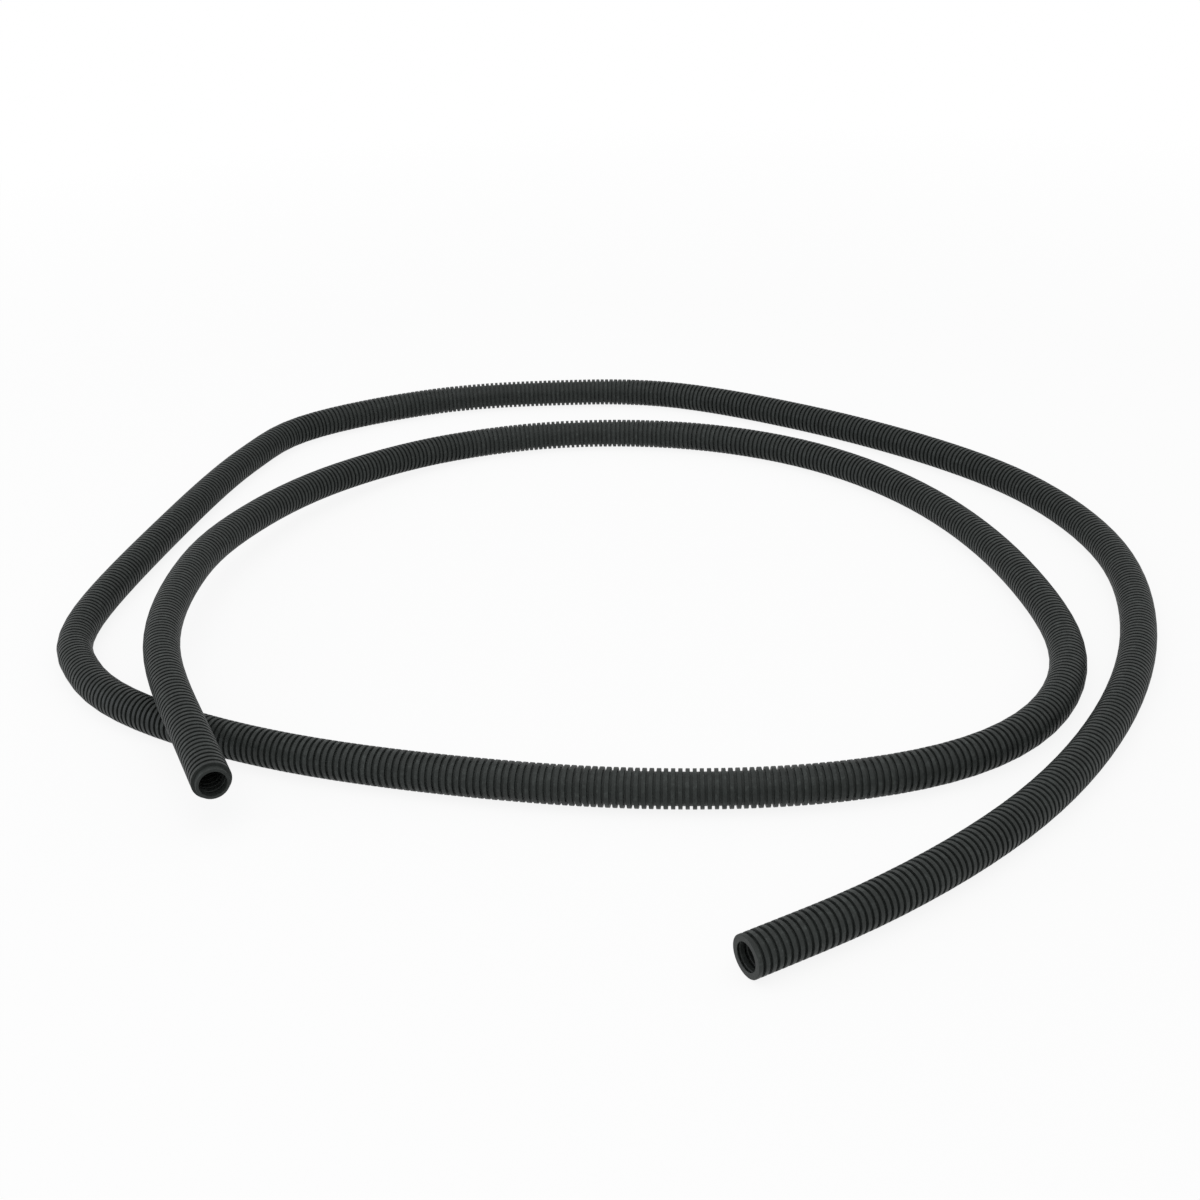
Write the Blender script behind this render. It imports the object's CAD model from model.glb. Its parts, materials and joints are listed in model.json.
"""The looks of a corrugated conduit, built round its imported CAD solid, in metres and in the CAD's frame."""

import json
import math

import bpy
import numpy as np
from mathutils import Matrix


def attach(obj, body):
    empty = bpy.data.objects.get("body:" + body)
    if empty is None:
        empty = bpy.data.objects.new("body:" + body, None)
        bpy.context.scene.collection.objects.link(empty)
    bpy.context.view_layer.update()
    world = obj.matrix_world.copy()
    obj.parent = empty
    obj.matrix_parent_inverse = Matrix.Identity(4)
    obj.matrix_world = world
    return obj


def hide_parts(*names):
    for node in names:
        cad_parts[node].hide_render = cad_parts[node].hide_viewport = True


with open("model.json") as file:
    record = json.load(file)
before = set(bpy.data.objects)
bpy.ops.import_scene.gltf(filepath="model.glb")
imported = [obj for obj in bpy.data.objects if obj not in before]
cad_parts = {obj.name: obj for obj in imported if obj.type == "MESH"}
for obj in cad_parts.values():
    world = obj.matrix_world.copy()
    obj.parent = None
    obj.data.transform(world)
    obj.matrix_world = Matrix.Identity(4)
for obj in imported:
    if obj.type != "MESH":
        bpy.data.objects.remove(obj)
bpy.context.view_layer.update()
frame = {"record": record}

MM = 0.001

# Section and waves, as in the CAD. The outside radius is the one that the end mounts state.
OUTER_R = frame["record"]["mounts"][0]["dims"]["r_mm"] * MM
GROOVE_DEPTH = 1.3 * MM
CREST_WALL = 1.2 * MM  # over each groove inside a crest
GROOVE_R = OUTER_R - GROOVE_DEPTH
INNER_GROOVE_R = OUTER_R - CREST_WALL
BORE_R = 5.5 * MM
PITCH = 2.8 * MM
CREST_W = 1.6 * MM
INNER_W = 0.8 * MM

# Edges, which are square in the CAD.
CREST_BEVEL = 0.08 * MM
MOUTH_BEVEL = 0.15 * MM  # between the bore and each cut face
RIM_ROUND = 0.3 * MM  # radius between each cut face and the outside
GROOVE_EASE = 0.22 * MM  # at the grooves inside the crests, where the mouths show them

# How it lies, as in the CAD.
END_CRESTS = 10
CRESTS_PER_LENGTH = 4  # the conduit bends at every fourth crest
END_LEN = CREST_W / 2 + END_CRESTS * PITCH
REST_Z = OUTER_R
CROSS_GAP = 0.4 * MM  # between the run that passes over and the run beneath it
OVER_Z = 2 * OUTER_R + CROSS_GAP


def way(heading, rise):
    """A direction from its heading, anticlockwise from +X, and its rise, both in degrees."""
    heading, rise = math.radians(heading), math.radians(rise)
    level = math.cos(rise)
    return np.array((math.cos(heading) * level, math.sin(heading) * level, math.sin(rise)))


# Which way each cut end points. The free end of the upper run droops a little.
START_WAY = way(183, 0)
STOP_WAY = way(268, -2)

# Centreline between the two straight end stretches: x, y, and the rise as a share of OVER_Z.
ROUTE = (
    (-0.061, -0.285, 0), (0.034, -0.268, 0), (0.114, -0.231, 0), (0.181, -0.176, 0),
    (0.228, -0.107, 0), (0.246, -0.030, 0), (0.237, 0.046, 0), (0.204, 0.135, 0),
    (0.155, 0.215, 0), (0.094, 0.257, 0), (0.022, 0.283, 0), (-0.060, 0.281, 0),
    (-0.109, 0.247, 0), (-0.169, 0.176, 0), (-0.235, 0.082, 0), (-0.246, 0.029, 0),
    (-0.228, -0.026, 0), (-0.177, -0.093, 0), (-0.094, -0.164, 0), (-0.017, -0.207, 0),
    (0.052, -0.222, 0), (0.108, -0.206, 0), (0.151, -0.160, 0), (0.182, -0.075, 0),
    (0.190, 0.008, 0), (0.173, 0.083, 0), (0.130, 0.145, 0), (0.066, 0.187, 0),
    (-0.005, 0.200, 0.05), (-0.076, 0.180, 0.3), (-0.134, 0.140, 0.58), (-0.180, 0.085, 0.84),
    (-0.214, 0.006, 1), (-0.222, -0.087, 0.94),
)
SAMPLES = 64  # points taken on each span of the route

# Mesh detail.
OUTER_SIDES = 48
BORE_SIDES = 24
MOUTH_WAVES = 12  # waves behind each mouth whose bore is as round as the outside
RIM_STEPS = 4  # faces across the rounding of each cut face
RUNS = 3  # the outside is made as this many pieces, end to end

CAMERA_AT = (-0.3196, -0.6665, 0.3627)
HEADING = math.radians(25.48)  # from +Y towards +X
LOOK_DOWN = math.radians(26.452)
ROLL = math.radians(-2.184)
LENS_MM = 50
SENSOR_MM = 36
CLIP = (0.01, 50)

# The plastic. Each shade multiplies its colour. Noise scales are in waves to the metre.
OUTSIDE_COLOUR = (0.0288, 0.0326, 0.0309)
BORE_COLOUR = (0.031, 0.0349, 0.0332)
MOTTLE_SCALE = 70
GRAIN_SCALE = 1600
SCUFF_SCALE = 420
MOTTLE_SHADE = (0.88, 1.12)
GRAIN_SHADE = (0.88, 1.12)
GROOVE_SHADE = 1.25
RUBBED_SHADE = (0.98, 1.22)  # off and on the rubbed patches of a crest
WORN_SHADE = 1.5  # on the rubbed patches of an edge
ROUGHNESS = (0.40, 0.52)
SPECULAR = 0.15
GRAIN_BUMP = 0.3
GRAIN_HEIGHT = 0.1 * MM

# The studio.
FLOOR_SIZE = 16
FLOOR_Z = -0.2 * MM
FLOOR_PAINT = 0.95
PLAIN_REACH = (0.5, 1.2)  # distances from the origin between which the floor goes over to plain white
PLAIN_SHARE = (0.88, 1)  # share of plain white in what the camera sees of the floor, near and far
AMBIENT = 0.58
LAMPS = (
    # name, place, size, watts, colour
    ("overhead", (-0.4, -0.3, 1.9), 2.2, 14, (1, 1, 1)),
    ("left", (-1.5, 0.5, 0.5), 1.0, 4, (0.86, 0.88, 1)),
)


# ---------------------------------------------------------------- camera


def make_camera():
    data = bpy.data.cameras.new("camera")
    data.lens = LENS_MM
    data.sensor_width = SENSOR_MM
    data.clip_start, data.clip_end = CLIP
    camera = bpy.data.objects.new("camera", data)
    bpy.context.scene.collection.objects.link(camera)
    turn = (
        Matrix.Rotation(-HEADING, 4, "Z")
        @ Matrix.Rotation(math.pi / 2 - LOOK_DOWN, 4, "X")
        @ Matrix.Rotation(ROLL, 4, "Z")
    )
    camera.matrix_world = Matrix.Translation(CAMERA_AT) @ turn
    bpy.context.scene.camera = camera


# ---------------------------------------------------------------- centreline


class Centreline:
    """The conduit's middle line from one cut face to the other, in the CAD's short straight lengths."""

    def __init__(self):
        knots = np.array([(x, y, REST_Z + rise * OVER_Z) for x, y, rise in ROUTE])
        before = knots[1] + 2 * np.linalg.norm(knots[1] - knots[0]) * START_WAY
        after = knots[-2] + 2 * np.linalg.norm(knots[-1] - knots[-2]) * STOP_WAY
        guided = np.vstack([before, knots, after])
        curve = [self.span(*guided[k : k + 4]) for k in range(len(knots) - 1)]
        curve = np.vstack([*curve, knots[-1:]])
        curve[:, 2] = np.maximum(curve[:, 2], REST_Z)
        run = self.run_along(curve)
        lengths = round(run[-1] / (CRESTS_PER_LENGTH * PITCH))
        bends = self.along(np.linspace(0, run[-1], lengths + 1), run, curve)
        first = bends[0] + END_LEN * START_WAY
        last = bends[-1] + END_LEN * STOP_WAY
        self.points = np.vstack([first, bends, last])
        middle = (self.points.min(0) + self.points.max(0)) / 2
        self.points[:, :2] -= middle[:2]
        self.run = self.run_along(self.points)
        self.length = self.run[-1]

    @staticmethod
    def span(a, b, c, d):
        """Catmull-Rom points from b up to c, steered by a and d."""
        t = np.linspace(0, 1, SAMPLES, endpoint=False)[:, None]
        return (
            2 * b
            + (c - a) * t
            + (2 * a - 5 * b + 4 * c - d) * t**2
            + (3 * b - a - 3 * c + d) * t**3
        ) / 2

    @staticmethod
    def run_along(points):
        """Distance from the first point to each point."""
        steps = np.linalg.norm(np.diff(points, axis=0), axis=1)
        return np.concatenate([[0], np.cumsum(steps)])

    @staticmethod
    def along(s, run, points):
        """Places at the distances s along points, whose own distances are run."""
        return np.stack([np.interp(s, run, points[:, k]) for k in range(3)], axis=1)

    def at(self, s):
        """Places at the distances s from the first cut face."""
        return self.along(s, self.run, self.points)

    def frames(self, s):
        """Places at the distances s, with the level side and the upper side of the section there."""
        reach = PITCH / 2
        ahead = self.at(np.minimum(s + reach, self.length))
        behind = self.at(np.maximum(s - reach, 0))
        along = ahead - behind
        along /= np.linalg.norm(along, axis=1)[:, None]
        side = np.cross((0, 0, 1), along)
        side /= np.linalg.norm(side, axis=1)[:, None]
        return self.at(s), side, np.cross(along, side)

    def crests(self):
        """Distances of the crests' middles from the first cut face, which is cut through a crest. The last
        face is cut through a groove, so there is no crest at it."""
        end = CREST_W / 2 + PITCH * np.arange(END_CRESTS)
        bends = self.run[1:-1]
        share = np.arange(CRESTS_PER_LENGTH * (len(bends) - 1) + 1) / CRESTS_PER_LENGTH
        middle = np.interp(share, np.arange(len(bends)), bends)
        return np.concatenate([end, middle, self.length - end[:0:-1]])


# ---------------------------------------------------------------- meshes


def swept(name, line, rings, sides, material, outwards=True):
    """A skin of rings round the centreline. rings holds one (distance, radius, lift, edge) for each;
    sides holds each ring's number of points. Lift and edge are kept on the mesh for its material."""
    rings = np.array(rings, float)
    sides = np.broadcast_to(sides, len(rings))
    first = np.concatenate([[0], np.cumsum(sides)])
    ring = np.repeat(np.arange(len(rings)), sides)
    place, side, up = line.frames(rings[:, 0])
    angle = 2 * math.pi * (np.arange(first[-1]) - first[ring]) / sides[ring]
    radius = rings[ring, 1][:, None]
    verts = place[ring] + radius * (
        np.cos(angle)[:, None] * side[ring] + np.sin(angle)[:, None] * up[ring]
    )
    faces = faces_between(first, sides)
    if not outwards:
        faces = [face[::-1] for face in faces]
    mesh = bpy.data.meshes.new(name)
    mesh.from_pydata(verts.tolist(), [], faces)
    for label, column in (("lift", 2), ("edge", 3)):
        values = rings[ring, column].astype(np.float32)
        mesh.attributes.new(label, "FLOAT", "POINT").data.foreach_set("value", values)
    mesh.attributes.new("sharp_edge", "BOOLEAN", "EDGE").data.foreach_set("value", ring_edges(mesh, ring))
    mesh.polygons.foreach_set("use_smooth", np.ones(len(mesh.polygons), bool))
    mesh.materials.append(material)
    mesh.validate()
    piece = bpy.data.objects.new(name, mesh)
    bpy.context.scene.collection.objects.link(piece)
    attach(piece, "root")
    return piece


def ring_edges(mesh, ring):
    """For each edge, whether it runs round the skin. The shading is smooth only round it."""
    ends = np.zeros(len(mesh.edges) * 2, int)
    mesh.edges.foreach_get("vertices", ends)
    return ring[ends[::2]] == ring[ends[1::2]]


def faces_between(first, sides):
    """Faces that join each ring to the next. first holds the number of each ring's first point."""
    faces = []
    for n in np.unique(sides):
        k = np.flatnonzero((sides[:-1] == n) & (sides[1:] == n))
        j = np.arange(n)
        a, b = first[k][:, None], first[k + 1][:, None]
        quads = np.stack([a + j, a + (j + 1) % n, b + (j + 1) % n, b + j], axis=2)
        faces += quads.reshape(-1, 4).tolist()
    for k in np.flatnonzero(sides[:-1] != sides[1:]):
        faces += fan(first[k], sides[k], first[k + 1], sides[k + 1])
    return faces


def fan(a, many, b, few):
    """Faces between a ring of many points and one of half as many, whichever comes first."""
    if many < few:
        return [face[::-1] for face in fan(b, few, a, many)]
    faces = []
    for j in range(few):
        i = 2 * j
        here, after = b + j, b + (j + 1) % few
        faces.append((a + i, a + i + 1, here))
        faces.append((a + i + 1, a + (i + 2) % many, after))
        faces.append((a + i + 1, after, here))
    return faces


def rim_rings(face, radius, inwards):
    """A flat cut face and its rounded outer edge, from the bore out. inwards is +1 or -1 along the run."""
    rings = [(face, BORE_R + MOUTH_BEVEL, 1, 0)]
    for step in range(RIM_STEPS + 1):
        turn = math.pi / 2 * step / RIM_STEPS
        place = face + inwards * RIM_ROUND * (1 - math.cos(turn))
        rings.append((place, radius - RIM_ROUND * (1 - math.sin(turn)), 1, math.sin(turn)))
    return rings


def crest_rings(middle):
    low, high = middle - CREST_W / 2, middle + CREST_W / 2
    return [
        (low, GROOVE_R, 0, 0),
        (low, OUTER_R - CREST_BEVEL, 1, 1),
        (low + CREST_BEVEL, OUTER_R, 1, 1),
        (high - CREST_BEVEL, OUTER_R, 1, 1),
        (high, OUTER_R - CREST_BEVEL, 1, 1),
        (high, GROOVE_R, 0, 0),
    ]


def outer_skins(line, material):
    """The crests and grooves, in pieces that each start at the last ring of the one before. The rim of the
    first cut face takes the place of the outer half of its crest."""
    pieces = []
    last_ring = []
    for i, group in enumerate(np.array_split(line.crests(), RUNS)):
        rings = last_ring + [ring for middle in group for ring in crest_rings(middle)]
        if i == 0:
            rings[:3] = rim_rings(0, OUTER_R, 1)
        if i == RUNS - 1:
            rings += rim_rings(line.length, GROOVE_R, -1)[::-1]
        last_ring = rings[-1:]
        pieces.append(swept(f"conduit_outside_{i + 1}", line, rings, OUTER_SIDES, material))
    return pieces


def inner_groove_rings(middle):
    low, high = middle - INNER_W / 2, middle + INNER_W / 2
    return [
        (low, BORE_R, 1, 0),
        (low, INNER_GROOVE_R, 0, 0),
        (high, INNER_GROOVE_R, 0, 0),
        (high, BORE_R, 1, 0),
    ]


def eased_groove_rings(middle):
    """A groove inside a crest, with the edges that the mouths show."""
    low, high = middle - INNER_W / 2, middle + INNER_W / 2
    return [
        (low - GROOVE_EASE, BORE_R, 1, 1),
        (low, BORE_R + GROOVE_EASE, 1, 1),
        (low + GROOVE_EASE / 2, INNER_GROOVE_R, 0, 0),
        (high - GROOVE_EASE / 2, INNER_GROOVE_R, 0, 0),
        (high, BORE_R + GROOVE_EASE, 1, 1),
        (high + GROOVE_EASE, BORE_R, 1, 1),
    ]


def bore_skin(line, material):
    """The bore from mouth to mouth, with a groove inside each crest."""
    crests = line.crests()
    mouth = [(0, BORE_R + MOUTH_BEVEL, 0, 1), (MOUTH_BEVEL, BORE_R, 0, 1)]
    far_mouth = [(line.length - s, *rest) for s, *rest in reversed(mouth)]
    rings = list(mouth)
    sides = [OUTER_SIDES] * len(mouth)
    for i, middle in enumerate(crests):
        if min(i, len(crests) - 1 - i) < MOUTH_WAVES:
            wave, wave_sides = eased_groove_rings(middle), OUTER_SIDES
        else:
            wave, wave_sides = inner_groove_rings(middle), BORE_SIDES
        rings += wave
        sides += [wave_sides] * len(wave)
    rings += far_mouth
    sides += [OUTER_SIDES] * len(far_mouth)
    return swept("conduit_bore", line, rings, sides, material, outwards=False)


# ---------------------------------------------------------------- materials


class Nodes:
    """A short way to add nodes to a material or a world and to link them."""

    def __init__(self, owner):
        owner.use_nodes = True
        self.tree = owner.node_tree
        self.tree.nodes.clear()

    def add(self, kind, inputs=None, **settings):
        node = self.tree.nodes.new(kind)
        for name, value in settings.items():
            setattr(node, name, value)
        for name, value in (inputs or {}).items():
            if isinstance(value, bpy.types.NodeSocket):
                self.tree.links.new(value, node.inputs[name])
            else:
                node.inputs[name].default_value = value
        return node

    def math(self, operation, a, b):
        return self.add("ShaderNodeMath", {0: a, 1: b}, operation=operation).outputs[0]

    def noise(self, place, scale, detail, roughness=0.5):
        inputs = {"Vector": place, "Scale": scale, "Detail": detail, "Roughness": roughness}
        return self.add("ShaderNodeTexNoise", inputs).outputs["Fac"]

    def kept(self, name):
        """A value that the mesh keeps at its points."""
        return self.add("ShaderNodeAttribute", attribute_name=name).outputs["Fac"]

    def seen(self):
        """1 for what the camera sees, straight, in a shine or through glass, and 0 for other light."""
        path = self.add("ShaderNodeLightPath").outputs
        straight_or_shine = self.math("MAXIMUM", path["Is Camera Ray"], path["Is Glossy Ray"])
        return self.math("MAXIMUM", straight_or_shine, path["Is Transmission Ray"])

    def spread(self, value, source, target):
        """value, carried over from the range source to the range target."""
        inputs = {"Value": value, "From Min": source[0], "From Max": source[1]}
        inputs |= {"To Min": target[0], "To Max": target[1]}
        return self.add("ShaderNodeMapRange", inputs).outputs["Result"]


def plastic(name, colour):
    """Dark grey moulded plastic with mottling, a fine grain, dusty grooves, and rubbed crests and edges."""
    material = bpy.data.materials.new(name)
    n = Nodes(material)
    place = n.add("ShaderNodeTexCoord").outputs["Object"]
    mottle = n.noise(place, MOTTLE_SCALE, detail=4)
    grain = n.noise(place, GRAIN_SCALE, detail=3)
    scuff = n.noise(place, SCUFF_SCALE, detail=6, roughness=0.7)
    lift = n.kept("lift")
    edge = n.kept("edge")

    most = (0.3, 0.7)  # the range that most of a noise keeps to
    full = (0, 1)
    patches = n.spread(scuff, (0.5, 0.68), full)
    rubbed = n.math("MULTIPLY", lift, patches)
    worn = n.math("MULTIPLY", edge, patches)
    shade = n.spread(mottle, most, MOTTLE_SHADE)
    for another in (
        n.spread(grain, most, GRAIN_SHADE),
        n.spread(lift, full, (GROOVE_SHADE, 1)),
        n.spread(rubbed, full, RUBBED_SHADE),
        n.spread(worn, full, (1, WORN_SHADE)),
    ):
        shade = n.math("MULTIPLY", shade, another)
    painted = n.add("ShaderNodeVectorMath", {0: colour, "Scale": shade}, operation="SCALE")
    bump = n.add("ShaderNodeBump", {"Height": grain, "Strength": GRAIN_BUMP, "Distance": GRAIN_HEIGHT})
    shader = n.add(
        "ShaderNodeBsdfPrincipled",
        {
            "Base Color": painted.outputs["Vector"],
            "Roughness": n.spread(mottle, most, ROUGHNESS),
            "Normal": bump.outputs["Normal"],
            "Specular IOR Level": SPECULAR,
        },
    )
    n.add("ShaderNodeOutputMaterial", {"Surface": shader.outputs[0]})
    return material


# ---------------------------------------------------------------- studio


def make_floor():
    """A white floor that keeps a faint shadow: the camera sees most of it as plain white."""
    bpy.ops.mesh.primitive_plane_add(size=FLOOR_SIZE, location=(0, 0, FLOOR_Z))
    floor = bpy.context.object
    floor.name = "floor"
    material = bpy.data.materials.new("white_floor")
    n = Nodes(material)
    paint = n.add("ShaderNodeBsdfDiffuse", {"Color": (FLOOR_PAINT, FLOOR_PAINT, FLOOR_PAINT, 1)})
    plain = n.add("ShaderNodeEmission", {"Color": (1, 1, 1, 1), "Strength": 1})
    place = n.add("ShaderNodeTexCoord").outputs["Object"]
    away = n.add("ShaderNodeVectorMath", {0: place}, operation="LENGTH").outputs["Value"]
    share = n.math("MULTIPLY", n.seen(), n.spread(away, PLAIN_REACH, PLAIN_SHARE))
    mix = n.add("ShaderNodeMixShader", {"Fac": share, 1: paint.outputs[0], 2: plain.outputs[0]})
    n.add("ShaderNodeOutputMaterial", {"Surface": mix.outputs[0]})
    floor.data.materials.append(material)


def make_world():
    """A soft even light from all round, which the camera sees as white."""
    world = bpy.data.worlds.new("studio")
    bpy.context.scene.world = world
    n = Nodes(world)
    strength = n.spread(n.seen(), (0, 1), (AMBIENT, 1))
    light = n.add("ShaderNodeBackground", {"Color": (1, 1, 1, 1), "Strength": strength})
    n.add("ShaderNodeOutputWorld", {"Surface": light.outputs[0]})


def softbox(name, place, size, watts, colour):
    """A square lamp aimed at the middle of the floor."""
    data = bpy.data.lights.new(name, "AREA")
    data.size = size
    data.energy = watts
    data.color = colour
    lamp = bpy.data.objects.new(name, data)
    bpy.context.scene.collection.objects.link(lamp)
    lamp.location = place
    lamp.rotation_euler = (-lamp.location).to_track_quat("-Z", "Y").to_euler()


# ---------------------------------------------------------------- the scene

bpy.context.scene.view_settings.view_transform = "Standard"
make_camera()
line = Centreline()
bore = bore_skin(line, plastic("dark_plastic_bore", BORE_COLOUR))
outside = outer_skins(line, plastic("dark_plastic", OUTSIDE_COLOUR))
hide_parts("conduit")
for piece in outside:
    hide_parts("conduit")
make_floor()
make_world()
for lamp in LAMPS:
    softbox(*lamp)
